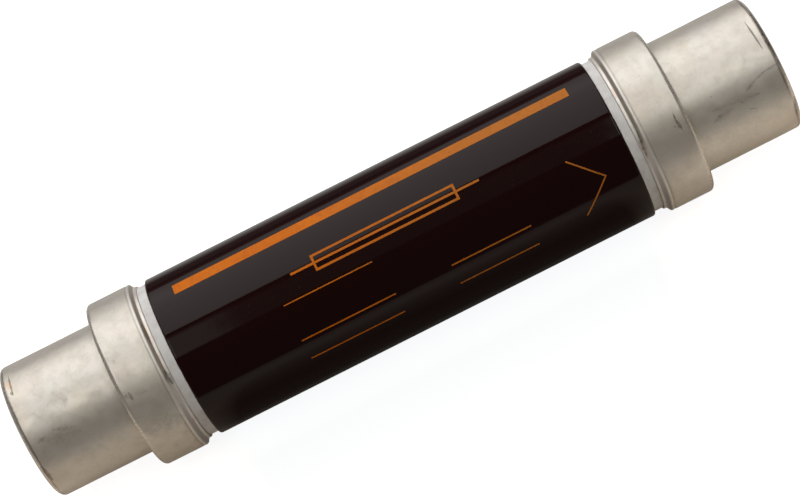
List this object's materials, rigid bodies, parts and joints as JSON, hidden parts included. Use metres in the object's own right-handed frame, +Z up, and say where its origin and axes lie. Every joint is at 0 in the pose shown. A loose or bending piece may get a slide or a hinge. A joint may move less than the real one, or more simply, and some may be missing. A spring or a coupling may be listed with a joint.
{
  "type": "high-voltage fuse link",
  "caption": "Cylindrical porcelain high-voltage back-up fuse link with stepped metal contact caps and a spring-driven striker pin at one end.",
  "frame": {"origin": "the middle of the fuse link's length, on its axis", "axes": "+X along the axis towards the striker end, +Z up, +Y completes the right-handed set"},
  "size_m": [0.2586, 0.0556, 0.0558],
  "materials": {
    "glazed_porcelain": "dark brown gloss glaze, bare ground ends",
    "nickel_plated_copper": "satin nickel plating, lightly stained and scratched",
    "copper": "bare, as drawn",
    "silver": "bare rolled strip",
    "core_ceramic": "unglazed",
    "quartz_sand": "compacted fine sand",
    "seal_rubber": "matt",
    "bare_brass": "turned",
    "plated_steel": "zinc-plated",
    "spring_steel": "drawn wire"
  },
  "bodies": {
    "fuse_body": {"porcelain_barrel": "glazed_porcelain", "contact_cap_plain": "nickel_plated_copper", "contact_cap_striker": "nickel_plated_copper", "inner_cap_plain": "copper", "inner_cap_striker": "copper", "filling_plug": "copper", "end_gasket_plain": "seal_rubber", "end_gasket_striker": "seal_rubber", "ribbed_core": "core_ceramic", "element_crown_plain": "copper", "element_crown_striker": "copper", "fuse_element_1": "silver", "fuse_element_2": "silver", "fuse_element_3": "silver", "quartz_sand": "quartz_sand", "trip_wire": "spring_steel", "wire_anchor": "bare_brass", "striker_housing": "plated_steel", "guide_bush": "bare_brass", "opening_seal": "seal_rubber", "striker_spring": "spring_steel"},
    "striker": {"striker_pin": "plated_steel"}
  },
  "joints": [
    {"name": "striker_slide", "type": "slide", "parent": "fuse_body", "child": "striker", "axis": [1, 0, 0], "range_m": [0, 0.03], "deforming": ["striker_spring"]}
  ]
}
